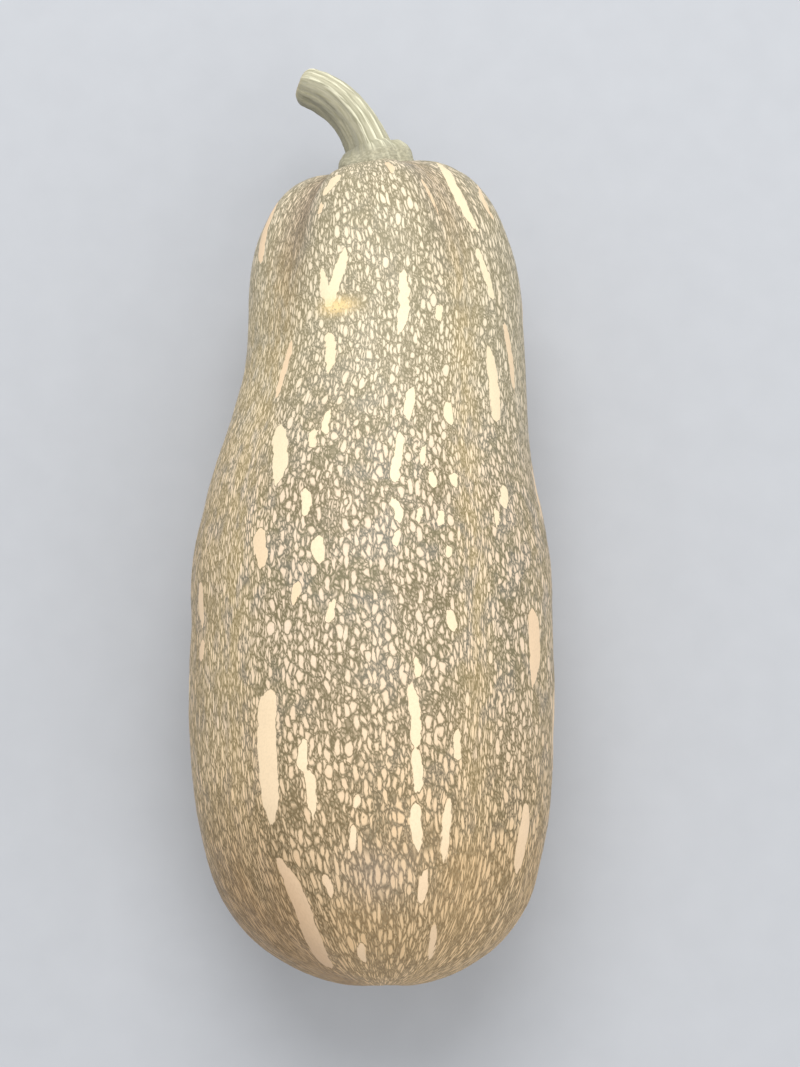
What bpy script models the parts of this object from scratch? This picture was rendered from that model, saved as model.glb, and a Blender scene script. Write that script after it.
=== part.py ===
"""Butternut squash of the long mottled kind, lying on its belly with its dried stem on.

The fruit's long axis runs along Y: blossom end at -Y, crown and stem at +Y, +Z up. The fruit rests on its
ground spot at Z = 0, and the origin is under the middle of the whole squash.
"""

import math

import bmesh
import bpy
import numpy as np
from mathutils import Matrix, Vector

# Lengths of the fruit's stretches, from the blossom end to the crown
BULB_LENGTH = 0.149
WAIST_LENGTH = 0.108
NECK_LENGTH = 0.077
BLOSSOM_CAP_LENGTH = 0.115
CROWN_CAP_LENGTH = 0.075

# Radii of the fruit, and how far its two ends draw in before they close
BULB_RADIUS = 0.0716
NECK_RADIUS = 0.0570
BLOSSOM_TAPER = 0.0163
CROWN_TAPER = 0.0058
END_SQUARENESS = 9.0

# How the fruit wanders off a straight line
NECK_SWAY = 0.0053
NECK_DROOP = 0.0060
BLOSSOM_SWAY = 0.0040
CROWN_PULL = 0.0070
CROWN_SLOPE = 0.12
CROWN_DIMPLE_DEPTH = 0.0035
CROWN_DIMPLE_RADIUS = 0.0170

# Furrows between the five lobes, by their angle round from the top
FURROW_ANGLES_DEG = (-117.0, -45.0, 33.0, 105.0, 177.0)
FURROW_HALF_WIDTH_DEG = 13.0
FURROW_DEPTH = 0.0013
CROWN_FURROW_DEPTH = 0.0055

# Ground spot: the flat that the fruit rests on
GROUND_SPOT_DEPTH = 0.0018

# Stem: a ridged stalk that leaves the crown through a flared foot and bends to -X
STEM_RADIUS = 0.0088
STEM_FOOT_RADIUS = 0.0170
STEM_FOOT_HEIGHT = 0.0085
STEM_LENGTH = 0.0540
STEM_OFF_CENTRE = 0.0022
STEM_LEAN_DEG = 12.0
STEM_END_LEAN_DEG = 76.0
STEM_CURL = 1.5
STEM_DROOP = 0.0030
STEM_RIDGES = 5
STEM_RIDGE_HEIGHT = 0.0008

# Fit between the two pieces
SEAT_GAP = 0.0003
FOOT_SINK = 0.0050

# Fineness of the meshes
FRUIT_SEGMENTS_ROUND = 60
FRUIT_SEGMENTS_ALONG = 44
STEM_SEGMENTS_ROUND = 30
STEM_SEGMENTS_ALONG = 16

FRUIT_LENGTH = BULB_LENGTH + WAIST_LENGTH + NECK_LENGTH
FRUIT_AXIS_HEIGHT = BULB_RADIUS - GROUND_SPOT_DEPTH


def smooth_step(value, start, end):
    """Ease from 0 at start to 1 at end."""
    share = min(max((value - start) / (end - start), 0.0), 1.0)
    return share * share * (3.0 - 2.0 * share)


def cap_share(distance, cap_length):
    """1 at a pole, easing to 0 where that end's cap begins."""
    return max(1.0 - distance / cap_length, 0.0) ** 2


def fruit_radius(along):
    """Radius of the fruit at a distance along it from the blossom pole."""
    waist = smooth_step(along, BULB_LENGTH, BULB_LENGTH + WAIST_LENGTH)
    girth = BULB_RADIUS + (NECK_RADIUS - BULB_RADIUS) * waist
    girth -= BLOSSOM_TAPER * cap_share(along, BLOSSOM_CAP_LENGTH)
    girth -= CROWN_TAPER * cap_share(FRUIT_LENGTH - along, CROWN_CAP_LENGTH)
    off_middle = abs(2.0 * along / FRUIT_LENGTH - 1.0)
    return girth * math.sqrt(max(1.0 - off_middle**END_SQUARENESS, 0.0))


def fruit_centre(along):
    """Where the fruit's middle lies at a distance along it."""
    neck_start = BULB_LENGTH + WAIST_LENGTH
    sway = NECK_SWAY * smooth_step(along, BULB_LENGTH + WAIST_LENGTH / 3.0, neck_start)
    sway += BLOSSOM_SWAY * cap_share(along, BLOSSOM_CAP_LENGTH)
    sway -= CROWN_PULL * cap_share(FRUIT_LENGTH - along, CROWN_CAP_LENGTH)
    droop = NECK_DROOP * smooth_step(along, BULB_LENGTH, neck_start)
    return Vector((sway, along, FRUIT_AXIS_HEIGHT - droop))


def furrow(around, along):
    """Depth of the furrows at an angle round from the top and a distance along."""
    to_crown = smooth_step(along, BULB_LENGTH + WAIST_LENGTH, FRUIT_LENGTH)
    depth = FURROW_DEPTH + (CROWN_FURROW_DEPTH - FURROW_DEPTH) * to_crown
    worn_belly = smooth_step(-math.cos(around), 0.85, 0.95) * (1.0 - to_crown)
    total = 0.0
    for angle in FURROW_ANGLES_DEG:
        away = math.remainder(around - math.radians(angle), math.tau)
        total += math.exp(-((away / math.radians(FURROW_HALF_WIDTH_DEG)) ** 2))
    return depth * total * (1.0 - worn_belly)


def fruit_point(around, along):
    """A point on the fruit's skin, with the belly flattened at the ground."""
    radius = fruit_radius(along)
    closing = min(radius / NECK_RADIUS, 1.0)
    radius -= furrow(around, along) * closing
    point = fruit_centre(along) + radius * Vector((math.sin(around), 0.0, math.cos(around)))
    crown_end = smooth_step(along, BULB_LENGTH + WAIST_LENGTH, FRUIT_LENGTH)
    point.y += CROWN_SLOPE * (point.x - fruit_centre(FRUIT_LENGTH).x) * crown_end
    point.y -= CROWN_DIMPLE_DEPTH * math.exp(-((radius / CROWN_DIMPLE_RADIUS) ** 2)) * crown_end
    point.z = max(point.z, 0.0)
    return point


def make_material(name, colour, roughness):
    """A plain natural finish."""
    material = bpy.data.materials.new(name)
    material.use_nodes = True
    shader = material.node_tree.nodes["Principled BSDF"]
    shader.inputs["Base Color"].default_value = (*colour, 1.0)
    shader.inputs["Roughness"].default_value = roughness
    shader.inputs["Metallic"].default_value = 0.0
    return material


def fruit_mesh(name, grow=0.0):
    """A UV sphere drawn out into the fruit, and grown outwards by a given amount."""
    mesh = bpy.data.meshes.new(name)
    shape = bmesh.new()
    bmesh.ops.create_uvsphere(
        shape,
        u_segments=FRUIT_SEGMENTS_ROUND,
        v_segments=FRUIT_SEGMENTS_ALONG,
        radius=1.0,
    )
    for vert in shape.verts:
        around = math.atan2(vert.co.y, vert.co.x)
        along = FRUIT_LENGTH * (1.0 + vert.co.z) / 2.0
        vert.co = fruit_point(around, along)
    shape.normal_update()
    if grow:
        moves = [(vert, vert.normal * grow) for vert in shape.verts]
        for vert, move in moves:
            vert.co += move
    shape.to_mesh(mesh)
    shape.free()
    mesh.shade_smooth()
    return mesh


def make_fruit(collection):
    """The fruit, one grown piece."""
    fruit = bpy.data.objects.new("squash_fruit", fruit_mesh("squash_fruit"))
    fruit.data.materials.append(make_material("mottled_skin", (0.46, 0.42, 0.24), 0.45))
    collection.objects.link(fruit)
    return fruit


def stem_section(collection):
    """The stalk's ridged cross-section, of unit radius, as a closed curve."""
    curve = bpy.data.curves.new("stem_section", "CURVE")
    spline = curve.splines.new("POLY")
    spline.points.add(STEM_SEGMENTS_ROUND - 1)
    for index, point in enumerate(spline.points):
        angle = math.tau * index / STEM_SEGMENTS_ROUND
        reach = 1.0 + STEM_RIDGE_HEIGHT / STEM_RADIUS * math.cos(STEM_RIDGES * angle)
        point.co = (reach * math.cos(angle), reach * math.sin(angle), 0.0, 1.0)
    spline.use_cyclic_u = True
    section = bpy.data.objects.new("stem_section", curve)
    section.hide_render = True
    section.display_type = "WIRE"
    collection.objects.link(section)
    return section


def stem_path():
    """Points and radii along the stalk, from inside the crown to the cut end."""
    crown = fruit_point(0.0, FRUIT_LENGTH)
    step = STEM_LENGTH / (STEM_SEGMENTS_ALONG - 1)
    place = crown + Vector((STEM_OFF_CENTRE, 0.0, 0.0))
    root = place - Vector((0.0, FOOT_SINK, 0.0))
    steps = [(root, STEM_FOOT_RADIUS)]
    for share in np.linspace(0.0, 1.0, STEM_SEGMENTS_ALONG):
        flare = math.exp(-((share * STEM_LENGTH / STEM_FOOT_HEIGHT) ** 2))
        radius = STEM_RADIUS + (STEM_FOOT_RADIUS - STEM_RADIUS) * flare
        steps.append((place - Vector((0.0, 0.0, STEM_DROOP * share**2)), radius))
        lean = STEM_LEAN_DEG + (STEM_END_LEAN_DEG - STEM_LEAN_DEG) * share**STEM_CURL
        place += step * Vector((-math.sin(math.radians(lean)), math.cos(math.radians(lean)), 0.0))
    return steps


def make_stem(collection, guides):
    """The dried stalk, its foot cut to sit on the crown with a hair's gap."""
    curve = bpy.data.curves.new("stalk_run", "CURVE")
    curve.dimensions = "3D"
    curve.bevel_mode = "OBJECT"
    curve.bevel_object = stem_section(guides)
    curve.use_fill_caps = True
    path = stem_path()
    spline = curve.splines.new("POLY")
    spline.points.add(len(path) - 1)
    for point, (place, radius) in zip(spline.points, path, strict=True):
        point.co = (*place, 1.0)
        point.radius = radius
    run = bpy.data.objects.new("stalk_run", curve)
    collection.objects.link(run)

    shape = bmesh.new()
    evaluated = run.evaluated_get(bpy.context.evaluated_depsgraph_get())
    mesh = bpy.data.meshes.new_from_object(evaluated)
    bpy.data.objects.remove(run)
    shape.from_mesh(mesh)
    bmesh.ops.remove_doubles(shape, verts=shape.verts, dist=0.00001)
    bmesh.ops.recalc_face_normals(shape, faces=shape.faces)
    shape.to_mesh(mesh)
    shape.free()
    mesh.name = "stem"
    mesh.shade_smooth()

    stem = bpy.data.objects.new("stem", mesh)
    stem.data.materials.append(make_material("dried_stalk", (0.36, 0.34, 0.17), 0.75))
    collection.objects.link(stem)

    cutter = bpy.data.objects.new("crown_cutter", fruit_mesh("crown_cutter", grow=SEAT_GAP))
    cutter.hide_render = True
    cutter.display_type = "WIRE"
    guides.objects.link(cutter)
    seat = stem.modifiers.new("crown_seat", "BOOLEAN")
    seat.operation = "DIFFERENCE"
    seat.solver = "EXACT"
    seat.object = cutter
    return stem


def stand_on_origin(pieces, followers):
    """Move everything so that the origin is under the middle of the whole squash."""
    graph = bpy.context.evaluated_depsgraph_get()
    corners = []
    for piece in pieces:
        mesh = piece.evaluated_get(graph).to_mesh()
        corners += [vert.co.copy() for vert in mesh.vertices]
    low = Vector(min(corner[axis] for corner in corners) for axis in range(3))
    high = Vector(max(corner[axis] for corner in corners) for axis in range(3))
    middle = (low + high) / 2.0
    shift = Matrix.Translation((-middle.x, -middle.y, -low.z))
    for item in pieces + followers:
        item.data.transform(shift)


def main():
    for item in list(bpy.data.objects):
        bpy.data.objects.remove(item)
    squash = bpy.data.collections.new("butternut_squash")
    guides = bpy.data.collections.new("cutters_and_guides")
    bpy.context.scene.collection.children.link(squash)
    bpy.context.scene.collection.children.link(guides)
    fruit = make_fruit(squash)
    stem = make_stem(squash, guides)
    stand_on_origin([fruit, stem], [guides.objects["crown_cutter"]])


main()
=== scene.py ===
"""A long mottled butternut squash, lying on its belly with its dried stem on.

The fruit runs along Y, blossom end at -Y and stem at +Y, and rests on its ground spot at Z = 0.
"""

import math

import bpy
import numpy as np
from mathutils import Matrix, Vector, noise


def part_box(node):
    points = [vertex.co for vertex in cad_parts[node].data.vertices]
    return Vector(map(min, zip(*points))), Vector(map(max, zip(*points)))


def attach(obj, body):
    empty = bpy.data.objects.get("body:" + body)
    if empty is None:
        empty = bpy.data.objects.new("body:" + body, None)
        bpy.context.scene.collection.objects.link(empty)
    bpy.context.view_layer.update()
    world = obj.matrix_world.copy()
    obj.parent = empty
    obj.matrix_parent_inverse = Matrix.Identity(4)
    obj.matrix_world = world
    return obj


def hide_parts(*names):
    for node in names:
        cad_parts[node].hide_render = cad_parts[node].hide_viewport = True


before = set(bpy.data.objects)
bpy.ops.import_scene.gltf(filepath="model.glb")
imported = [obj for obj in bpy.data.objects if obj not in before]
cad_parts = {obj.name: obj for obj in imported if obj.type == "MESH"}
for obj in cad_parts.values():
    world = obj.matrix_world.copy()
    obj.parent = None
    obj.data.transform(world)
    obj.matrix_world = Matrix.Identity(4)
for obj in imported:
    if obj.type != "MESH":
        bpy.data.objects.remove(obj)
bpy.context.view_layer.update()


# ---------------------------------------------------------------------------------------------
# The fruit: one grown piece, a heavy bulb at the blossom end and a wide neck at the crown. Its
# hard waxed skin is ridged by five shallow furrows and mottled cream on olive, and the belly is
# flat where it lay on the ground.
# ---------------------------------------------------------------------------------------------

BULB_LENGTH = 0.149
WAIST_LENGTH = 0.108
NECK_LENGTH = 0.077
BLOSSOM_CAP_LENGTH = 0.115
CROWN_CAP_LENGTH = 0.075
BULB_RADIUS = 0.0716
NECK_RADIUS = 0.0570
BLOSSOM_TAPER = 0.0163
CROWN_TAPER = 0.0058
END_SQUARENESS = 9.0
NECK_SWAY = 0.0053
NECK_DROOP = 0.0060
BLOSSOM_SWAY = 0.0040
CROWN_PULL = 0.0070
CROWN_SLOPE = 0.12
CROWN_DIMPLE_DEPTH = 0.0035
CROWN_DIMPLE_RADIUS = 0.0170
FURROWS = np.radians((-117.0, -45.0, 33.0, 105.0, 177.0))
FURROW_HALF_WIDTH = math.radians(13.0)
FURROW_DEPTH = 0.0013
CROWN_FURROW_DEPTH = 0.0074
LEFT_FURROW_DEPTH = 0.0048
# three of the crown's lobes: angle in degrees, and how far each stands above the rest
CROWN_LOBES = ((-6.0, -0.0019), (69.0, 0.0018), (-81.0, 0.0024))
CROWN_LOBE_HALF_WIDTH = math.radians(28.0)
PLEATS = 17
PLEAT_DEPTH = 0.00035
GROUND_SPOT_DEPTH = 0.0018
FRUIT_LENGTH = BULB_LENGTH + WAIST_LENGTH + NECK_LENGTH
AXIS_HEIGHT = BULB_RADIUS - GROUND_SPOT_DEPTH
NECK_START = BULB_LENGTH + WAIST_LENGTH

# the skin's own fine unevenness, and the blossom scar's dent
SWELL = 0.0007
SWELLS_PER_METRE = (28.0, 75.0)
PITTING = 0.00012
PITS_PER_METRE = 330.0
SCAR_RADIUS = 0.0055
SCAR_DEPTH = 0.0022

SKIN_ROWS = 292
SKIN_COLUMNS = 320

fruit_low, fruit_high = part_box("squash_fruit")
BLOSSOM_Y = fruit_low.y
FRUIT_X = (fruit_low.x + fruit_high.x) / 2.0


def ease(value, start, end):
    """From 0 at start to 1 at end, along a soft S."""
    share = np.clip((value - start) / (end - start), 0.0, 1.0)
    return share * share * (3.0 - 2.0 * share)


def cap_share(distance, cap_length):
    return np.maximum(1.0 - distance / cap_length, 0.0) ** 2


def hump(distance, half_width):
    """1 at the middle, falling softly to 0 on either side."""
    return np.exp(-((distance / half_width) ** 2))


def turn_between(around, angle):
    """Signed turn from an angle to around, the short way, in radians."""
    return (around - angle + math.pi) % math.tau - math.pi


def fruit_radius(along):
    girth = BULB_RADIUS + (NECK_RADIUS - BULB_RADIUS) * ease(along, BULB_LENGTH, NECK_START)
    girth -= BLOSSOM_TAPER * cap_share(along, BLOSSOM_CAP_LENGTH)
    girth -= CROWN_TAPER * cap_share(FRUIT_LENGTH - along, CROWN_CAP_LENGTH)
    off_middle = np.abs(2.0 * along / FRUIT_LENGTH - 1.0)
    return girth * np.sqrt(np.maximum(1.0 - off_middle**END_SQUARENESS, 0.0))


def fruit_centre(along):
    """Sideways place and height of the fruit's middle."""
    sway = NECK_SWAY * ease(along, BULB_LENGTH + WAIST_LENGTH / 3.0, NECK_START)
    sway += BLOSSOM_SWAY * cap_share(along, BLOSSOM_CAP_LENGTH)
    sway -= CROWN_PULL * cap_share(FRUIT_LENGTH - along, CROWN_CAP_LENGTH)
    return sway, AXIS_HEIGHT - NECK_DROOP * ease(along, BULB_LENGTH, NECK_START)


def furrow_share(around):
    """1 at the bottom of a furrow, falling to 0 on the lobes."""
    return sum(hump(turn_between(around, furrow), FURROW_HALF_WIDTH) for furrow in FURROWS)


def fruit_point(around, along):
    """A point on the rind, by its angle from the top and its distance from the blossom end."""
    radius = fruit_radius(along)
    to_crown = ease(along, NECK_START, FRUIT_LENGTH)
    depth = FURROW_DEPTH + (CROWN_FURROW_DEPTH - FURROW_DEPTH) * to_crown
    worn = ease(-np.cos(around), 0.85, 0.95) * (1.0 - to_crown)
    closing = np.minimum(radius / NECK_RADIUS, 1.0)
    left_furrow = hump(turn_between(around, FURROWS[1]), FURROW_HALF_WIDTH)
    pleating = np.cos(PLEATS * around + 2.0 * np.sin(3.0 * around)) * ease(along, 0.27, 0.32)
    radius = radius - depth * furrow_share(around) * (1.0 - worn) * closing
    deeper = LEFT_FURROW_DEPTH * left_furrow * to_crown - PLEAT_DEPTH * pleating
    radius = radius - deeper * closing
    middle_x, middle_z = fruit_centre(along)
    x = middle_x + radius * np.sin(around)
    z = middle_z + radius * np.cos(around)
    y = along + CROWN_SLOPE * (x - fruit_centre(FRUIT_LENGTH)[0]) * to_crown
    y = y - CROWN_DIMPLE_DEPTH * hump(radius, CROWN_DIMPLE_RADIUS) * to_crown
    lobe_rise = sum(rise * hump(turn_between(around, math.radians(lobe)), CROWN_LOBE_HALF_WIDTH)
                    for lobe, rise in CROWN_LOBES)
    y = y + lobe_rise * to_crown * ease(radius, 0.012, 0.034)
    y = y + SCAR_DEPTH * hump(radius, SCAR_RADIUS) * ease(along, 0.02, 0.0)
    return np.stack([x + FRUIT_X, y + BLOSSOM_Y, np.maximum(z, 0.0)], axis=-1)


def even_rows(count):
    """Places along the fruit, spaced evenly over the skin from pole to pole, and their runs."""
    fine = FRUIT_LENGTH * (1.0 - np.cos(np.linspace(0.0, math.pi, 6000))) / 2.0
    steps = np.hypot(np.diff(fine), np.diff(fruit_radius(fine)))
    run = np.concatenate([[0.0], np.cumsum(steps)])
    wanted = np.linspace(0.0, run[-1], count)
    return np.interp(wanted, run, fine), wanted


# where the mottling is crowded: the angle of each band, how tight it is and its half width
CROWDED = ((FURROWS[1], 1.2, 0.14), (FURROWS[2] + 0.02, 1.4, 0.09), (FURROWS[0], 1.2, 0.14),
           (FURROWS[3], 1.2, 0.14))


def crowding(around):
    """How closely the mottling is packed round the fruit: tight in furrows and down the sides."""
    tight = sum(most * hump(turn_between(around, band), half) for band, most, half in CROWDED)
    left = 0.75 * ease(-turn_between(around, 0.0), 0.70, 0.95)
    right = 0.35 * ease(turn_between(around, 0.0), 0.75, 1.3)
    return 1.0 + tight + left + right


def packed_turn(around):
    """The angle round the fruit, run on faster where the mottling is tight."""
    fine = np.linspace(-math.pi, math.pi, 2881)
    pace = fine[1] - fine[0]
    run = np.concatenate([[0.0], np.cumsum((crowding(fine[1:]) + crowding(fine[:-1])) / 2.0)])
    return np.interp(around, fine, run * pace - run[-1] * pace / 2.0)


def grid_mesh(name, rows, poles, first_turn):
    """A closed mesh of rings of vertices, with a vertex at each pole, and its corner places."""
    ring_count, column_count = rows.shape[:2]
    points = np.concatenate([[poles[0]], rows.reshape(-1, 3), [poles[1]]])
    columns = np.arange(column_count)
    following = (columns + 1) % column_count
    faces, corners = [], []
    for c, n in zip(columns, following, strict=True):
        faces.append((0, 1 + c, 1 + n))
        corners.append(((0, c + 0.5), (1, c), (1, c + 1)))
    for ring in range(ring_count - 1):
        low, high = 1 + ring * column_count, 1 + (ring + 1) * column_count
        for c, n in zip(columns, following, strict=True):
            faces.append((low + c, high + c, high + n, low + n))
            corners.append(((ring + 1, c), (ring + 2, c), (ring + 2, c + 1), (ring + 1, c + 1)))
    last, end = 1 + (ring_count - 1) * column_count, len(points) - 1
    for c, n in zip(columns, following, strict=True):
        faces.append((last + n, last + c, end))
        corners.append(((ring_count, c + 1), (ring_count, c), (ring_count + 1, c + 0.5)))
    mesh = bpy.data.meshes.new(name)
    mesh.from_pydata(points.tolist(), [], faces)
    mesh.shade_smooth()
    corners = np.array([corner for face in corners for corner in face])
    corners[:, 1] = first_turn + corners[:, 1] * math.tau / column_count
    return mesh, corners


def add_map(mesh, name, places):
    """Gives a mesh a flat map, one place for each face corner."""
    layer = mesh.uv_layers.new(name=name)
    layer.data.foreach_set("uv", np.asarray(places, np.float32).ravel())


def add_share(mesh, name, values):
    """Gives a mesh a number at each vertex."""
    layer = mesh.attributes.new(name, "FLOAT", "POINT")
    layer.data.foreach_set("value", np.asarray(values, np.float32).ravel())


# Pale streaks where the dark net never closed: start and end angle from the top in degrees,
# bow, start and end from the blossom end in millimetres, width, and how peachy each is
STREAKS = [
    (-70, -64, 0, 316, 285, 6.6, 0.9), (-22, -26, 0, 319, 308, 6.0, 0.3),
    (-28, -28, 0, 305, 299, 2.5, 0.7), (10, 8, 0, 324, 314, 3.0, 0.8),
    (53, 46, -7, 325, 290, 4.6, 0.2), (67, 60, -5, 315, 297, 3.0, 0.7),
    (24, 28, 0, 313, 292, 2.0, 0.9), (-16, -22, 0, 281, 256, 5.0, 0.1),
    (-26, -24, 0, 273, 259, 3.5, 0.2), (8, 6, 0, 270, 243, 4.5, 0.1),
    (44, 48, 0, 285, 264, 4.0, 0.1), (-22, -20, 2, 246, 227, 4.6, 0.3),
    (22, 22, 0, 258, 250, 3.0, 0.2), (-40, -41, 0, 246, 221, 3.6, 0.8),
    (56, 64, 0, 257, 227, 5.0, 0.7), (46, 49, 0, 245, 213, 6.0, 0.3),
    (-34, -32, 1, 209, 183, 7.6, 0.2), (-20, -20, 0, 205, 197, 3.4, 0.3),
    (-16, -16, 0, 213, 202, 3.4, 0.2), (12, 12, 0, 222, 207, 4.0, 0.1),
    (9, 8, 0, 203, 182, 4.0, 0.1), (7, 9, 0, 176, 166, 3.7, 0.1), (18, 16, 0, 199, 188, 2.3, 0.1),
    (20, 20, 0, 188, 181, 3.5, 0.1), (28, 28, 0, 188, 182, 4.0, 0.1),
    (26, 28, 0, 218, 208, 4.0, 0.1), (48, 48, 0, 187, 177, 5.0, 0.2),
    (43, 43, 0, 176, 168, 3.0, 0.3), (-20, -20, 0, 181, 170, 4.0, 0.2),
    (-35, -35, 0, 167, 151, 6.8, 0.7), (-15, -15, 0, 162, 151, 5.0, 0.3),
    (8, 8, 0, 164, 157, 2.5, 0.2), (15, 15, 0, 173, 166, 2.4, 0.2), (22, 22, 0, 173, 166, 3.0, 0.2),
    (24, 24, 0, 159, 154, 3.0, 0.2), (-21, -23, 0, 145, 136, 3.7, 0.8),
    (-10, -12, 0, 138, 129, 3.0, 0.4), (-66, -64, 0, 152, 133, 5.7, 0.9),
    (-64, -64, 0, 129, 121, 6.0, 1.0), (24, 26, 0, 135, 127, 4.4, 0.3),
    (59, 59, 0, 140, 109, 9.0, 0.9), (14, 14, 0, 117, 109, 3.0, 0.4),
    (-30, -34, 0, 105, 57, 9.0, 0.6), (-31, -32, 0, 106, 90, 8.0, 0.6),
    (-20, -20, 0, 88, 76, 4.3, 0.4), (-19, -17, 0, 77, 58, 4.2, 0.5),
    (12, 14, 0, 108, 84, 4.3, 0.4), (14, 14, 0, 84, 68, 4.2, 0.4), (14, 14, 0, 65, 47, 4.6, 0.5),
    (27, 27, 0, 92, 80, 3.7, 0.5), (24, 24, 0, 67, 43, 4.0, 0.6), (56, 58, 0, 67, 41, 6.9, 0.9),
    (-33, -32, 3, 47, 7, 7.8, 1.0), (-16, -16, 0, 40, 31, 3.2, 0.9), (18, 16, 0, 42, 30, 3.7, 0.8),
    (24, 29, 0, 23, 10, 3.2, 0.9), (-8, -8, 0, 16, 9, 3.2, 0.9), (-4, -4, 0, 68, 62, 2.4, 0.5),
    (-6, -6, 0, 57, 47, 2.9, 0.6),
]
# further round from the top than this, the streaks are scattered
FIRST_HIDDEN_DEG = 76.0
HIDDEN_STREAKS = 62
FAR_FROM_STREAK = -12.0

draw = np.random.default_rng(7)
for _ in range(HIDDEN_STREAKS):
    angle = FIRST_HIDDEN_DEG + draw.random() * (360.0 - 2.0 * FIRST_HIDDEN_DEG)
    top = 25.0 + draw.random() * 285.0
    length = 7.0 + 30.0 * draw.random() ** 2
    lean = draw.normal() * 2.0
    peachiness = 0.3 + 0.7 * draw.random()
    STREAKS.append((angle, angle + lean, 0, top, max(top - length, 8.0), 2.6 + length * 0.13,
                    peachiness))


def streak_field(around, along):
    """How far inside the nearest pale streak each place is, in millimetres, and its peachiness."""
    depth = np.full(around.shape, FAR_FROM_STREAK)
    peach = np.zeros(around.shape)
    radius = fruit_radius(along) * 1000.0
    for index, (start, end, bow, top, foot, width, tone) in enumerate(STREAKS):
        share = np.clip((along * 1000.0 - foot) / (top - foot), 0.0, 1.0)
        stray = 0.9 * np.sin(share * 5.0 + index) * width / 7.0
        middle = np.radians(end + (start - end) * share + bow * 4.0 * share * (1.0 - share))
        across = turn_between(around, middle) * radius + stray
        beyond = along * 1000.0 - (foot + (top - foot) * share)
        heavy = 0.5 + 0.13 * math.sin(index * 2.4)
        skewed = share ** (math.log(0.5) / math.log(heavy))
        half = width / 2.0 * np.maximum(1.0 - np.abs(2.0 * skewed - 1.0) ** 4.0, 0.0) ** 0.7
        inside = half - np.hypot(across, beyond)
        peach = np.where(inside > depth, tone, peach)
        depth = np.maximum(depth, inside)
    return depth, peach


along_rows, skin_run = even_rows(SKIN_ROWS + 2)
skin_turns = -math.pi + np.arange(SKIN_COLUMNS) * math.tau / SKIN_COLUMNS
around_grid, along_grid = np.meshgrid(skin_turns, along_rows[1:-1])
skin_rings = fruit_point(around_grid, along_grid)
skin_poles = fruit_point(np.zeros(2), np.array([0.0, FRUIT_LENGTH]))
skin_mesh, skin_corners = grid_mesh("mottled_rind", skin_rings, skin_poles, -math.pi)

# uneven growth: broad soft swells and fine pits, left off where the belly rests
rest_points = np.array([v.co for v in skin_mesh.vertices])
skin_normals = np.array([v.normal for v in skin_mesh.vertices])
broad_swells, small_swells = SWELLS_PER_METRE
swells = np.array([noise.noise(Vector(p) * broad_swells)
                   + 0.5 * noise.noise(Vector(p) * small_swells) for p in rest_points])
pits = np.array([noise.noise(Vector(p) * PITS_PER_METRE) for p in rest_points])
off_ground = ease(rest_points[:, 2], 0.0, 0.010)
shift = (SWELL * swells + PITTING * pits) * off_ground
skin_points = rest_points + skin_normals * shift[:, None]
skin_points[:, 2] = np.maximum(skin_points[:, 2], 0.0)
skin_mesh.vertices.foreach_set("co", skin_points.astype(np.float32).ravel())
skin_mesh.update()

around_all = np.concatenate([[0.0], around_grid.ravel(), [0.0]])
along_all = np.concatenate([[0.0], along_grid.ravel(), [FRUIT_LENGTH]])
streak_depth, streak_peach = streak_field(around_all, along_all)
add_share(skin_mesh, "streak", streak_depth)
add_share(skin_mesh, "peach", streak_peach)


def spot_share(angle, half_turn, place, half_length):
    """1 at a spot on the rind, falling softly to 0 round it."""
    across = turn_between(around_all, angle) / half_turn
    lengthways = (along_all - place) / half_length
    return np.exp(-(across**2) - lengthways**2)


# where the rind is tanned: the blossom end, the left flank and the belly
height_share = skin_points[:, 2] / (2.0 * BULB_RADIUS)
left_flank = ease(-around_all, math.radians(40.0), math.radians(75.0)) * ease(along_all, 0.30, 0.10)
tanned = np.maximum(ease(along_all, 0.145, 0.012), 0.45 * left_flank)
tanned = np.maximum(tanned, 0.85 * ease(height_share, 0.34, 0.10))
add_share(skin_mesh, "tanned", tanned)

# where it is browner: the two furrows on top and both flanks
browned = hump(turn_between(around_all, FURROWS[1] - 0.05), 0.20) * ease(along_all, 0.315, 0.27)
browned = np.maximum(browned, 0.9 * ease(-around_all, 0.75, 1.05) * ease(along_all, 0.30, 0.24))
browned = np.maximum(browned, 0.5 * ease(around_all, 0.80, 1.10) * ease(along_all, 0.22, 0.15))
browned = np.maximum(browned, 0.8 * hump(turn_between(around_all, FURROWS[2]), 0.11))
add_share(skin_mesh, "browned", browned)

# the pale belly, the yellow stain on the neck, the blossom scar, and a greyish bloom
add_share(skin_mesh, "belly", ease(skin_points[:, 2], 0.020, 0.002))
add_share(skin_mesh, "stain", spot_share(math.radians(-18.5), 0.12, 0.2562, 0.0032))
scar_radius = np.where(along_all < 0.05, fruit_radius(along_all), 1.0)
add_share(skin_mesh, "scar", ease(scar_radius, 0.0075, 0.0045))
add_share(skin_mesh, "bloom", spot_share(0.0, 0.22, 0.040, 0.011))

# painted shade: darker rind at the lower left of the blossom end and in the crown's two furrows on
# top
painted_shade = ease(-around_all, 0.10, 0.75) * ease(along_all, 0.085, 0.020)
for furrow, shade, half_width in ((FURROWS[1], 0.95, 0.17), (FURROWS[2], 0.20, 0.11)):
    hollow = hump(turn_between(around_all, furrow), half_width) * ease(along_all, 0.22, 0.29)
    painted_shade = np.maximum(painted_shade, shade * hollow)
add_share(skin_mesh, "painted_shade", painted_shade)
# painted shade down all five furrows near the crown
add_share(skin_mesh, "crown_furrow_shade", furrow_share(around_all) * ease(along_all, 0.262, 0.31))
add_share(skin_mesh, "height_up_neck", ease(along_all, 0.165, 0.255))

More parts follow.
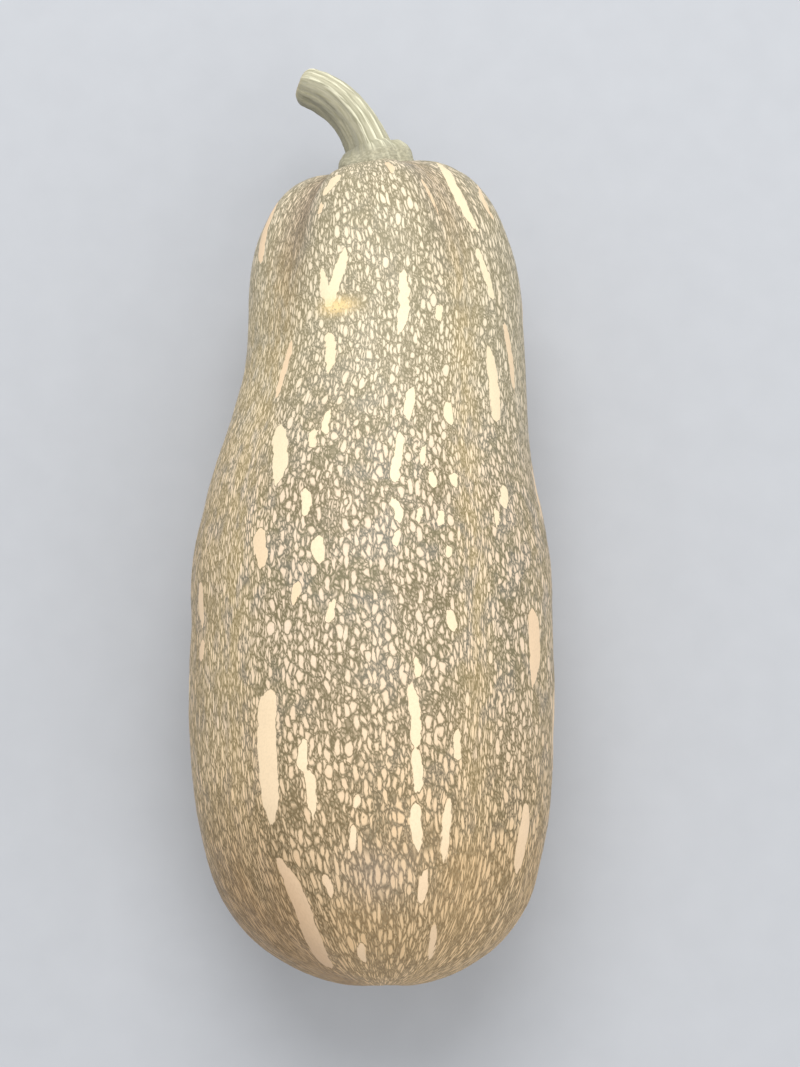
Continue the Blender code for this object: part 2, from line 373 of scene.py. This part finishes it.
# a flat map in millimetres for the mottling to grow on, and one for baking
MAP_RADIUS_MM = 64.0
BAKE_MARGIN = 0.002
corner_rows = skin_corners[:, 0].astype(int)
corner_run = skin_run[corner_rows]
stretch = (1.0 + 0.12 * ease(along_rows, NECK_START, BULB_LENGTH)
           + 0.36 * ease(along_rows, 0.265, 0.31) + 0.6 * ease(along_rows, 0.08, 0.02))
growth_steps = np.diff(skin_run) * 2.0 / (stretch[1:] + stretch[:-1])
growth_run = np.concatenate([[0.0], np.cumsum(growth_steps)])
growth = np.stack([packed_turn(skin_corners[:, 1]) * MAP_RADIUS_MM,
                   growth_run[corner_rows] * 1000.0], axis=-1)
baking = np.stack([skin_corners[:, 1] / math.tau + 0.5, corner_run / skin_run[-1]], axis=-1)
add_map(skin_mesh, "OFBake", np.clip(baking, 0.0, 1.0) * (1.0 - 2.0 * BAKE_MARGIN) + BAKE_MARGIN)
add_map(skin_mesh, "growth", growth)


def colour(red, green, blue):
    """A paint colour, given as it looks in 0-255 steps, as linear light."""
    parts = [part / 255.0 for part in (red, green, blue)]
    return (*[p / 12.92 if p <= 0.04045 else ((p + 0.055) / 1.055) ** 2.4 for p in parts], 1.0)


def node(tree, kind, sockets=None, **settings):
    """Adds a shader node, sets it, and joins or fills its sockets."""
    made = tree.nodes.new("ShaderNode" + kind)
    for name, value in settings.items():
        setattr(made, name, value)
    for socket, value in (sockets or {}).items():
        if isinstance(value, bpy.types.NodeSocket):
            tree.links.new(value, made.inputs[socket])
        else:
            made.inputs[socket].default_value = value
    return made


def calc(tree, operation, *values, clamp=False):
    """The result of a sum on numbers or sockets."""
    made = node(tree, "Math", dict(enumerate(values)), operation=operation, use_clamp=clamp)
    return made.outputs[0]


def shift_by(tree, place, offset):
    return node(tree, "VectorMath", {0: place, 1: offset}, operation="ADD").outputs[0]


def scale_by(tree, place, factors):
    return node(tree, "VectorMath", {0: place, 1: factors}, operation="MULTIPLY").outputs[0]


def blend(tree, share, low, high, kind="MIX"):
    """One colour over another by a share."""
    made = node(tree, "Mix", {0: share, 6: low, 7: high}, data_type="RGBA", blend_type=kind)
    return made.outputs[2]


def tint(tree, base, share, strength, paint):
    """A paint laid over a base by a share, as strongly as it says."""
    return blend(tree, calc(tree, "MULTIPLY", share, strength), base, paint)


def step(tree, value, start, end):
    """A soft step of a value, from 0 at start to 1 at end."""
    sockets = {"Value": value, "From Min": start, "From Max": end}
    return node(tree, "MapRange", sockets, interpolation_type="SMOOTHSTEP").outputs[0]


def share_of(tree, name):
    """The number that the mesh holds under a name."""
    return node(tree, "Attribute", attribute_name=name).outputs["Fac"]


def grain(tree, place, scale, detail=2.0, dimensions="2D"):
    sockets = {"Vector": place, "Scale": scale, "Detail": detail}
    return node(tree, "TexNoise", sockets, noise_dimensions=dimensions)


def blobs(tree, place, width, length, feature="F1", randomness=1.0):
    """Scattered points, one to each step of the given width and length."""
    steps = scale_by(tree, place, (1.0 / width, 1.0 / length, 0.0))
    sockets = {"Vector": steps, "Scale": 1.0, "Randomness": randomness}
    return node(tree, "TexVoronoi", sockets, voronoi_dimensions="2D", feature=feature)


def new_material(name):
    material = bpy.data.materials.new(name)
    material.use_nodes = True
    tree = material.node_tree
    return material, tree, tree.nodes["Principled BSDF"]


def wander(tree, place, scale, amount):
    """Moves a place about by a soft noise, so that nothing on it is drawn straight."""
    cloud = grain(tree, place, scale).outputs["Color"]
    stray = node(tree, "VectorMath", {0: cloud, 1: (0.5, 0.5, 0.5)}, operation="SUBTRACT")
    sockets = {0: stray.outputs[0], 1: (amount, amount, 0.0), 2: place}
    return node(tree, "VectorMath", sockets, operation="MULTIPLY_ADD").outputs[0]


def islands(tree, place, width, length, smallest, largest):
    """Scattered pale islands on a pitch, as depth inside the nearest one, in millimetres."""
    spots = blobs(tree, place, width, length)
    luck = node(tree, "SeparateColor", {0: spots.outputs["Color"]}).outputs[0]
    reach = calc(tree, "MULTIPLY_ADD", luck, largest - smallest, smallest)
    return calc(tree, "MULTIPLY", calc(tree, "SUBTRACT", reach, spots.outputs["Distance"]), width)


ROW_SLANT = 0.55
CELL_ROUNDING = 0.25


def cells(tree, place, width, length, thinnest, thickest, bias, randomness, fullest):
    """Close-packed cells in slanted rows, as depth inside the nearest one, in millimetres."""
    slant = calc(tree, "MULTIPLY", node(tree, "SeparateXYZ", {0: place}).outputs[0], ROW_SLANT)
    slanted = shift_by(tree, place, node(tree, "CombineXYZ", {1: slant}).outputs[0])
    nearest, second = (blobs(tree, slanted, width, length, feature, randomness)
                       for feature in ("F1", "F2"))
    luck = node(tree, "SeparateColor", {0: nearest.outputs["Color"]}).outputs[0]
    thin = calc(tree, "ADD", bias, thinnest)
    wall = calc(tree, "MULTIPLY_ADD", luck, thickest - thinnest, thin)
    lead = calc(tree, "SUBTRACT", second.outputs["Distance"], nearest.outputs["Distance"])
    flat = calc(tree, "MULTIPLY", calc(tree, "SUBTRACT", lead, wall), width / 2.0)
    inside = calc(tree, "SUBTRACT", fullest, nearest.outputs["Distance"])
    round_off = calc(tree, "MULTIPLY", inside, width)
    return calc(tree, "SMOOTH_MIN", flat, round_off, CELL_ROUNDING)


def seams(tree, place, width, length, half):
    """Long dark lines that hold the cells in chains, as depth beside them, in millimetres."""
    lines = blobs(tree, place, width, length, feature="DISTANCE_TO_EDGE")
    return calc(tree, "MULTIPLY_ADD", lines.outputs["Distance"], width, -half)


def gather(tree, found, layer, gap):
    """Adds a layer of blobs where those found so far leave room for a dark line between."""
    room = calc(tree, "SUBTRACT", calc(tree, "MULTIPLY", found, -1.0), gap)
    return calc(tree, "MAXIMUM", found, calc(tree, "MINIMUM", layer, room))


def mottling(tree, place, patchy, neck, streak):
    """Depth inside the nearest pale streak, island or cell; below 0 is the dark net."""
    lanes = grain(tree, scale_by(tree, place, (1.0 / 3.0, 1.0 / 26.0, 0.0)), 1.0, 0.0)
    aside = calc(tree, "SUBTRACT", lanes.outputs["Fac"], 0.5)
    bent = wander(tree, wander(tree, place, 1.0 / 9.0, 2.2), 1.0 / 1.8, 0.8)
    bent = shift_by(tree, bent, node(tree, "CombineXYZ", {0: aside}).outputs[0])

    ragged = grain(tree, scale_by(tree, place, (0.55, 0.28, 0.0)), 1.0, 3.0).outputs["Fac"]
    found = calc(tree, "MULTIPLY_ADD", calc(tree, "SUBTRACT", ragged, 0.5), 2.6, streak)
    wider_on_neck = calc(tree, "MULTIPLY", neck, 0.03)
    wider = calc(tree, "MULTIPLY_ADD", calc(tree, "SUBTRACT", patchy, 0.5), 0.18, wider_on_neck)
    found = gather(tree, found, islands(tree, bent, 7.0, 12.0, -0.30, 0.22), 0.42)
    found = gather(tree, found, islands(tree, bent, 3.0, 9.0, -0.22, 0.34), 0.34)
    packed = cells(tree, bent, 2.2, 4.2, 0.17, 0.34, wider, 0.9, 0.64)
    chained = calc(tree, "MINIMUM", packed, seams(tree, bent, 4.4, 34.0, 0.30))
    found = gather(tree, found, chained, 0.26)
    return gather(tree, found, cells(tree, bent, 1.1, 1.6, 0.26, 0.46, wider, 0.95, 0.50), 0.15)


def mottled_skin():
    """Waxed rind: cream streaks, islands and cells of many sizes in a grey-green net."""
    material, tree, shader = new_material("mottled_skin")
    place = node(tree, "UVMap", uv_map="growth").outputs[0]
    broad = grain(tree, place, 1.0 / 34.0).outputs["Fac"]
    patchy = grain(tree, place, 1.0 / 11.0).outputs["Fac"]
    fine = grain(tree, place, 1.0 / 0.9).outputs["Fac"]
    neck, crown_furrow_shade = share_of(tree, "height_up_neck"), share_of(tree, "crown_furrow_shade")
    streak = share_of(tree, "streak")
    found = mottling(tree, place, patchy, neck, streak)

    uneven = calc(tree, "SUBTRACT", broad, 0.5)
    tan = calc(tree, "MULTIPLY_ADD", uneven, 0.5, share_of(tree, "tanned"), clamp=True)
    brown_patches = step(tree, patchy, 0.2, 0.6)
    brown = calc(tree, "MULTIPLY", share_of(tree, "browned"), brown_patches, clamp=True)

    # the dark net between the cells
    net = blend(tree, step(tree, patchy, 0.36, 0.60), colour(114, 110, 95), colour(119, 111, 82))
    net = blend(tree, step(tree, broad, 0.58, 0.32), net, colour(118, 106, 76))
    net = tint(tree, net, neck, 0.62, colour(151, 141, 112))
    net = tint(tree, net, brown, 0.6, colour(160, 138, 90))
    net = tint(tree, net, tan, 0.85, colour(120, 97, 60))
    # painted shade: the net darker in the crown's furrows
    net = tint(tree, net, crown_furrow_shade, 0.6, colour(110, 99, 84))
    net = tint(tree, net, step(tree, fine, 0.50, 0.72), 0.30, colour(184, 170, 136))

    # the cream of the cells, duller in the small ones, and the peachier streaks
    cream = blend(tree, neck, colour(239, 214, 187), colour(240, 224, 195))
    cream = tint(tree, cream, brown, 0.5, colour(252, 226, 176))
    cream = tint(tree, cream, tan, 0.9, colour(230, 192, 142))
    # painted shade: the cells darker in the crown's furrows
    cream = tint(tree, cream, crown_furrow_shade, 0.5, colour(224, 198, 172))
    dull = blend(tree, 0.20, cream, colour(204, 188, 148))
    cream = blend(tree, step(tree, found, 0.1, 0.9), dull, cream)
    peachy = blend(tree, share_of(tree, "peach"), colour(243, 226, 190), colour(240, 208, 170))
    cream = blend(tree, step(tree, streak, -0.4, 0.5), cream, peachy)

    # both together, then what lies over them
    pale = step(tree, found, -0.14, 0.26)
    skin = blend(tree, pale, net, cream)
    skin = tint(tree, skin, step(tree, tan, 0.80, 1.0), 0.16, colour(204, 164, 112))
    skin = tint(tree, skin, share_of(tree, "bloom"), 0.20, colour(168, 156, 158))
    stain_grain = step(tree, fine, 0.2, 0.5)
    skin = tint(tree, skin, share_of(tree, "stain"), stain_grain, colour(242, 210, 148))
    skin = tint(tree, skin, share_of(tree, "belly"), 0.75, colour(214, 178, 122))
    skin = blend(tree, share_of(tree, "scar"), skin, colour(150, 124, 88))
    skin = tint(tree, skin, step(tree, fine, 0.35, 0.75), 0.08, colour(120, 108, 80))
    # painted shade over the lower left of the blossom end and the crown's two furrows
    shaded_skin = blend(tree, 1.0, skin, colour(222, 216, 212), "MULTIPLY")
    skin = blend(tree, share_of(tree, "painted_shade"), skin, shaded_skin)
    tree.links.new(skin, shader.inputs["Base Color"])

    # a satin wax, worn unevenly, over cells that stand up a little from the net
    wax = calc(tree, "MULTIPLY_ADD", patchy, 0.22, 0.36)
    tree.links.new(calc(tree, "MULTIPLY_ADD", fine, 0.12, wax), shader.inputs["Roughness"])
    relief = calc(tree, "MULTIPLY_ADD", pale, 0.6, calc(tree, "MULTIPLY", fine, 0.5))
    bump = node(tree, "Bump", {"Strength": 0.22, "Distance": 0.00022, "Height": relief})
    tree.links.new(bump.outputs[0], shader.inputs["Normal"])
    shader.inputs["Specular IOR Level"].default_value = 0.42
    return material


skin = bpy.data.objects.new("mottled_rind", skin_mesh)
bpy.context.scene.collection.objects.link(skin)
skin_mesh.materials.append(mottled_skin())
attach(skin, "root")
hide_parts("squash_fruit")


# ---------------------------------------------------------------------------------------------
# The stem: the dried woody stalk, ribbed along its length. It leaves the crown through a foot of
# five knuckled lobes that grip the rind, bends over to the left, and ends where it was cut.
# ---------------------------------------------------------------------------------------------

STEM_RADIUS = 0.0084
STEM_FOOT_HEIGHT = 0.0125
STEM_LENGTH = 0.0570
STEM_OFF_CENTRE = 0.0030
STEM_LEAN = math.radians(12.0)
STEM_END_LEAN = math.radians(76.0)
STEM_CURL = 1.5
STEM_DROOP = 0.0030
FOOT_SINK = 0.0045
FOOT_ROWS = 45
FOOT_SHARE = 0.26
STALK_ROWS = 64
STEM_COLUMNS = 180
CUT_ROUNDING = 0.0046
CUT_HOLLOW = 0.0016
CUT_RIM_SHARE = 0.35
CUT_ROWS = 26

# ribs: angle from the top towards the outer side of the bend, share of the full height, and
# half width in degrees
RIBS = [(4, 1.0, 7), (25, 0.85, 6), (47, 0.9, 7), (72, 0.7, 9), (100, 0.9, 10), (131, 0.6, 9),
        (160, 1.0, 10), (-170, 0.6, 8), (-140, 0.9, 10), (-112, 0.6, 8), (-84, 0.6, 10),
        (-52, 0.4, 8), (-27, 0.35, 7)]
RIB_HEIGHT = 0.0008
# the foot's lobes: angle from the top, then distance out, height and radius in millimetres
LOBES = ((18, 8.4, 6.0, 5.6), (80, 10.0, 6.2, 6.4), (147, 9.4, 5.0, 5.6),
         (-141, 9.4, 5.0, 5.6), (-60, 9.0, 6.2, 6.4))
# how sharply the lobes meet, and a reach that only keeps the powers near 1: it sizes nothing
LOBE_JOINING = 8.0
JOINING_REACH = 0.0172
WEB_THICKNESS = 0.0036
KNOBS_PER_METRE = (420.0, 900.0)
KNOB_HEIGHT = 0.00016
KNUCKLE_HEIGHT = 0.00024


def stem_centre(share):
    """The stalk's middle line and its direction, by share of its length."""
    fine = np.linspace(0.0, 1.0, 400)
    lean = STEM_LEAN + (STEM_END_LEAN - STEM_LEAN) * fine**STEM_CURL
    pace = STEM_LENGTH / (len(fine) - 1)
    x = np.concatenate([[0.0], np.cumsum(-np.sin(lean[:-1]) * pace)])
    y = np.concatenate([[0.0], np.cumsum(np.cos(lean[:-1]) * pace)])
    crown = fruit_point(np.array(0.0), np.array(FRUIT_LENGTH))
    px = crown[0] + STEM_OFF_CENTRE + np.interp(share, fine, x)
    py = crown[1] + np.interp(share, fine, y) + np.minimum(share, 0.0) * STEM_LENGTH
    pz = crown[2] - STEM_DROOP * np.maximum(share, 0.0) ** 2
    lean_here = np.interp(share, fine, lean)
    ahead = np.stack([-np.sin(lean_here), np.cos(lean_here), np.zeros_like(share)], axis=-1)
    return np.stack([px, py, pz], axis=-1), ahead


def rib_share(around):
    """1 along the crest of a full rib, falling to 0 between the ribs."""
    height = sum(rise * hump(turn_between(around, math.radians(rib)), math.radians(half))
                 for rib, rise, half in RIBS)
    return np.minimum(height, 1.1)


stem_turns = np.arange(STEM_COLUMNS) * math.tau / STEM_COLUMNS - math.pi
stem_shares = np.concatenate([
    np.linspace(-FOOT_SINK / STEM_LENGTH, FOOT_SHARE, FOOT_ROWS + 1)[:-1],
    np.linspace(FOOT_SHARE, 1.0 - CUT_ROUNDING / STEM_LENGTH, STALK_ROWS),
])
turn_grid, share_grid = np.meshgrid(stem_turns, stem_shares)
out_grid = share_grid * STEM_LENGTH
dome = np.sqrt(np.maximum(1.0 - (np.maximum(out_grid, 0.0) / STEM_FOOT_HEIGHT) ** 2, 0.0))
flare = dome * (1.0 - 0.25 * ease(-out_grid, 0.0, FOOT_SINK))
swelling = 0.17 * np.exp(-np.maximum(out_grid - STEM_FOOT_HEIGHT, 0.0) / 0.012)
stem_reach = STEM_RADIUS * (1.0 + swelling - 0.05 * ease(share_grid, 0.7, 1.0))

# the foot: a thin web round the stalk, with its lobes run softly into it
foot_parts = [stem_reach + WEB_THICKNESS * flare]
for lobe_turn, *lobe_sizes in LOBES:
    lobe_out, lobe_height, lobe_radius = (size / 1000.0 for size in lobe_sizes)
    aside = turn_between(turn_grid, math.radians(lobe_turn))
    above = np.maximum(out_grid - lobe_height, 0.0)
    ball = lobe_radius**2 - above**2 - (lobe_out * np.sin(aside)) ** 2
    lobe_reach = lobe_out * np.cos(aside) + np.sqrt(np.maximum(ball, 0.0))
    foot_parts.append(np.where((ball > 0.0) & (lobe_reach > 0.0), lobe_reach, 0.0))
joined = sum((part / JOINING_REACH) ** LOBE_JOINING for part in foot_parts)
foot_reach = joined ** (1.0 / LOBE_JOINING) * JOINING_REACH
ribs = rib_share(turn_grid + 0.12 * np.sin(share_grid * 4.0))
rib_rise = RIB_HEIGHT * (ribs - 0.35) * ease(out_grid, 0.006, 0.013)
stem_radius = foot_reach + rib_rise
centres, aheads = stem_centre(stem_shares)
up = np.array([0.0, 0.0, 1.0])
outward = np.cross(aheads, up)
spokes = np.cos(turn_grid)[..., None] * up + np.sin(turn_grid)[..., None] * outward[:, None, :]
stem_rings = centres[:, None, :] + stem_radius[..., None] * spokes

# the cut end: rounded over at the rim, then a face that has shrunk in towards the pith
end_centre, end_ahead = stem_centre(np.array([stem_shares[-1]]))
end_spokes = np.cos(stem_turns)[:, None] * up + np.sin(stem_turns)[:, None] * outward[-1]
cut_rings, cut_share = [], []
for step_in in np.linspace(0.0, 1.0, CUT_ROWS + 1)[1:-1]:
    bend = min(step_in / CUT_RIM_SHARE, 1.0) * math.pi / 2.0
    rim = 1.0 - (CUT_ROUNDING / STEM_RADIUS) * (1.0 - math.cos(bend))
    inner = max(step_in - CUT_RIM_SHARE, 0.0) / (1.0 - CUT_RIM_SHARE)
    radius_here = stem_radius[-1] * rim * (1.0 - inner)
    rise = CUT_ROUNDING * math.sin(bend) - CUT_HOLLOW * math.sin(inner * math.pi / 2.0) ** 2
    cut_rings.append(end_centre + end_ahead * rise + radius_here[:, None] * end_spokes)
    cut_share.append(step_in)
all_rings = np.concatenate([stem_rings, np.array(cut_rings)])
root_pole = centres[0] - aheads[0] * 0.0005
cut_pole = (end_centre + end_ahead * (CUT_ROUNDING - CUT_HOLLOW))[0]
stem_mesh, stem_corners = grid_mesh("ribbed_stalk", all_rings, (root_pole, cut_pole), -math.pi)

# small knobs all over, strongest on the foot
stem_points = np.array([v.co for v in stem_mesh.vertices])
stem_normals = np.array([v.normal for v in stem_mesh.vertices])
end_count = len(cut_rings) * STEM_COLUMNS + 1
out_all = np.concatenate([[-FOOT_SINK], out_grid.ravel(), np.full(end_count, STEM_LENGTH)])
big_knobs, small_knobs = KNOBS_PER_METRE
knobs = np.array([noise.noise(Vector(p) * big_knobs) + 0.5 * noise.noise(Vector(p) * small_knobs)
                  for p in stem_points])
knuckled = hump(out_all - 0.004, 0.006)
stem_points += stem_normals * (knobs * (KNOB_HEIGHT + KNUCKLE_HEIGHT * knuckled))[:, None]
stem_mesh.vertices.foreach_set("co", stem_points.astype(np.float32).ravel())
stem_mesh.update()

turn_all = np.concatenate([[0.0], turn_grid.ravel(), np.tile(stem_turns, len(cut_rings)), [0.0]])
cut_all = np.concatenate([np.zeros(1 + turn_grid.size), np.repeat(cut_share, STEM_COLUMNS), [1.0]])
rib_all = np.concatenate([[0.0], ribs.ravel(), np.tile(ribs[-1], len(cut_rings)), [0.0]])
add_share(stem_mesh, "rib", rib_all)
add_share(stem_mesh, "cut", cut_all)
add_share(stem_mesh, "knuckle", knuckled)
# painted light: the top and outer side of the bend, where the stalk's fibres are painted paler
from_outer = turn_between(turn_all, math.radians(35.0))
add_share(stem_mesh, "lit_outer_side", ease(from_outer, -1.1, -0.2) * ease(from_outer, 2.2, 1.2))

# a flat map for baking, and one in millimetres for the fibres to run along
MAP_LENGTH = STEM_LENGTH + FOOT_SINK + STEM_RADIUS
stem_row_out = np.concatenate([
    [-FOOT_SINK], stem_shares * STEM_LENGTH, STEM_LENGTH + np.array(cut_share) * STEM_RADIUS,
    [STEM_LENGTH + STEM_RADIUS]])
corner_out = stem_row_out[stem_corners[:, 0].astype(int)]
corner_turn = stem_corners[:, 1]
up_the_map = (corner_out + FOOT_SINK) / MAP_LENGTH
stem_baking = np.stack([corner_turn / math.tau + 0.5, up_the_map], axis=-1)
add_map(stem_mesh, "OFBake", np.clip(stem_baking, 0.0, 1.0))
fibre = np.stack([corner_turn * STEM_RADIUS * 1000.0, corner_out * 1000.0], axis=-1)
add_map(stem_mesh, "fibre", fibre)


def dried_stalk():
    """Dried stalk: pale ribs on olive fibres, painted lighter on the top and outer side of the
    bend, corky specks on the foot, a brownish cut end.
    """
    material, tree, shader = new_material("dried_stalk")
    place = node(tree, "UVMap", uv_map="fibre").outputs[0]
    lengthways = scale_by(tree, place, (1.0, 0.07, 0.0))
    fibres = grain(tree, lengthways, 1.5, 4.0).outputs["Fac"]
    strands = grain(tree, lengthways, 0.55).outputs["Fac"]
    speck = grain(tree, place, 1.1, 3.0).outputs["Fac"]
    rib, knuckle = share_of(tree, "rib"), share_of(tree, "knuckle")
    lit_side, cut = share_of(tree, "lit_outer_side"), share_of(tree, "cut")

    # the fibres, with painted light: paler on the top and outer side of the bend, darker olive
    # round the shaded inner side
    strand_tone = step(tree, strands, 0.3, 0.7)
    body = blend(tree, strand_tone, colour(143, 139, 121), colour(162, 156, 132))
    lit_side_tone = blend(tree, strands, colour(180, 175, 146), colour(206, 201, 174))
    body = tint(tree, body, lit_side, 0.8, lit_side_tone)
    # pale rib crests: partly the stalk's own pale ribs, partly a painted highlight that is much
    # stronger on the lit side
    crest = calc(tree, "MULTIPLY", step(tree, rib, 0.35, 0.95), step(tree, fibres, 0.30, 0.60))
    crest_highlight_strength = calc(tree, "MULTIPLY_ADD", lit_side, 0.75, 0.22)
    body = tint(tree, body, crest, crest_highlight_strength, colour(241, 236, 207))
    body = tint(tree, body, step(tree, fibres, 0.55, 0.30), 0.4, colour(128, 124, 92))

    # the corky foot and the cut end
    specks = step(tree, speck, 0.40, 0.66)
    foot = blend(tree, specks, colour(160, 155, 132), colour(191, 185, 158))
    body = tint(tree, body, step(tree, knuckle, 0.35, 0.9), 0.75, foot)
    cork_tone = step(tree, speck, 0.35, 0.65)
    corky = blend(tree, cork_tone, colour(176, 160, 122), colour(214, 200, 160))
    face = blend(tree, step(tree, cut, 0.75, 1.0), corky, colour(128, 108, 78))
    body = blend(tree, step(tree, cut, 0.10, 0.40), body, face)
    tree.links.new(body, shader.inputs["Base Color"])

    tree.links.new(calc(tree, "MULTIPLY_ADD", fibres, 0.25, 0.52), shader.inputs["Roughness"])
    relief = calc(tree, "MULTIPLY_ADD", speck, 0.5, fibres)
    bump = node(tree, "Bump", {"Strength": 0.5, "Distance": 0.0004, "Height": relief})
    tree.links.new(bump.outputs[0], shader.inputs["Normal"])
    shader.inputs["Specular IOR Level"].default_value = 0.35
    return material


stalk = bpy.data.objects.new("ribbed_stalk", stem_mesh)
bpy.context.scene.collection.objects.link(stalk)
stem_mesh.materials.append(dried_stalk())
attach(stalk, "root")
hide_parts("stem")


# ---------------------------------------------------------------------------------------------
# The floor: a plain pale sheet of matt board that the squash lies on.
# ---------------------------------------------------------------------------------------------

FLOOR_HALF = 3.0
FLOOR_DROP = 0.0002


def matt_board():
    """Matt grey-white board with the faintest tooth."""
    material, tree, shader = new_material("matt_board")
    place = node(tree, "TexCoord").outputs["Object"]
    tooth = grain(tree, place, 60.0, 3.0, "3D").outputs["Fac"]
    board = blend(tree, tooth, colour(182, 184, 188), colour(188, 190, 194))
    tree.links.new(board, shader.inputs["Base Color"])
    shader.inputs["Roughness"].default_value = 0.9
    shader.inputs["Specular IOR Level"].default_value = 0.2
    return material


floor_mesh = bpy.data.meshes.new("floor")
floor_corners = [(FLOOR_HALF * x, FLOOR_HALF * y, 0.0)
                 for x, y in ((-1, -1), (1, -1), (1, 1), (-1, 1))]
floor_mesh.from_pydata(floor_corners, [], [(0, 1, 2, 3)])
floor_mesh.materials.append(matt_board())
floor = bpy.data.objects.new("floor", floor_mesh)
floor.location.z = -FLOOR_DROP
bpy.context.scene.collection.objects.link(floor)


# ---------------------------------------------------------------------------------------------
# The light: a broad soft panel high over the crown end, a weaker one opposite, and pale walls.
# ---------------------------------------------------------------------------------------------

def soft_panel(name, place, aim, size, power):
    """A round panel of light, aimed at a point."""
    light = bpy.data.lights.new(name, "AREA")
    light.shape = "DISK"
    light.size = size
    light.energy = power
    lamp = bpy.data.objects.new(name, light)
    lamp.location = place
    lamp.rotation_euler = (Vector(aim) - Vector(place)).to_track_quat("-Z", "Y").to_euler()
    bpy.context.scene.collection.objects.link(lamp)


soft_panel("key_panel", (-0.05, 0.90, 1.48), (0.0, 0.08, 0.0), 1.3, 19.5)
soft_panel("fill_panel", (0.7, -0.7, 1.2), (0.0, 0.0, 0.05), 1.2, 4.8)

world = bpy.data.worlds.new("pale_room")
world.use_nodes = True
walls = world.node_tree.nodes["Background"]
walls.inputs["Color"].default_value = (0.96, 0.98, 1.0, 1.0)
walls.inputs["Strength"].default_value = 0.74
bpy.context.scene.world = world
bpy.context.scene.view_settings.view_transform = "Standard"


# ---------------------------------------------------------------------------------------------
# The camera: held by hand over the squash, looking almost straight down from the blossom end.
# ---------------------------------------------------------------------------------------------

CAMERA_DISTANCE = 0.80
CAMERA_ELEVATION = math.radians(78.0)
CAMERA_LENS = 67.5
CAMERA_AIM = Vector((0.0111, BLOSSOM_Y + 0.1769, AXIS_HEIGHT))

camera_data = bpy.data.cameras.new("camera")
camera_data.sensor_fit = "VERTICAL"
camera_data.sensor_height = 36.0
camera_data.lens = CAMERA_LENS
camera_data.clip_start = 0.01
camera = bpy.data.objects.new("camera", camera_data)
camera_back = Vector((0.0, -math.cos(CAMERA_ELEVATION), math.sin(CAMERA_ELEVATION)))
camera.location = CAMERA_AIM + CAMERA_DISTANCE * camera_back
camera.rotation_euler = (math.pi / 2.0 - CAMERA_ELEVATION, 0.0, 0.0)
bpy.context.scene.collection.objects.link(camera)
bpy.context.scene.camera = camera
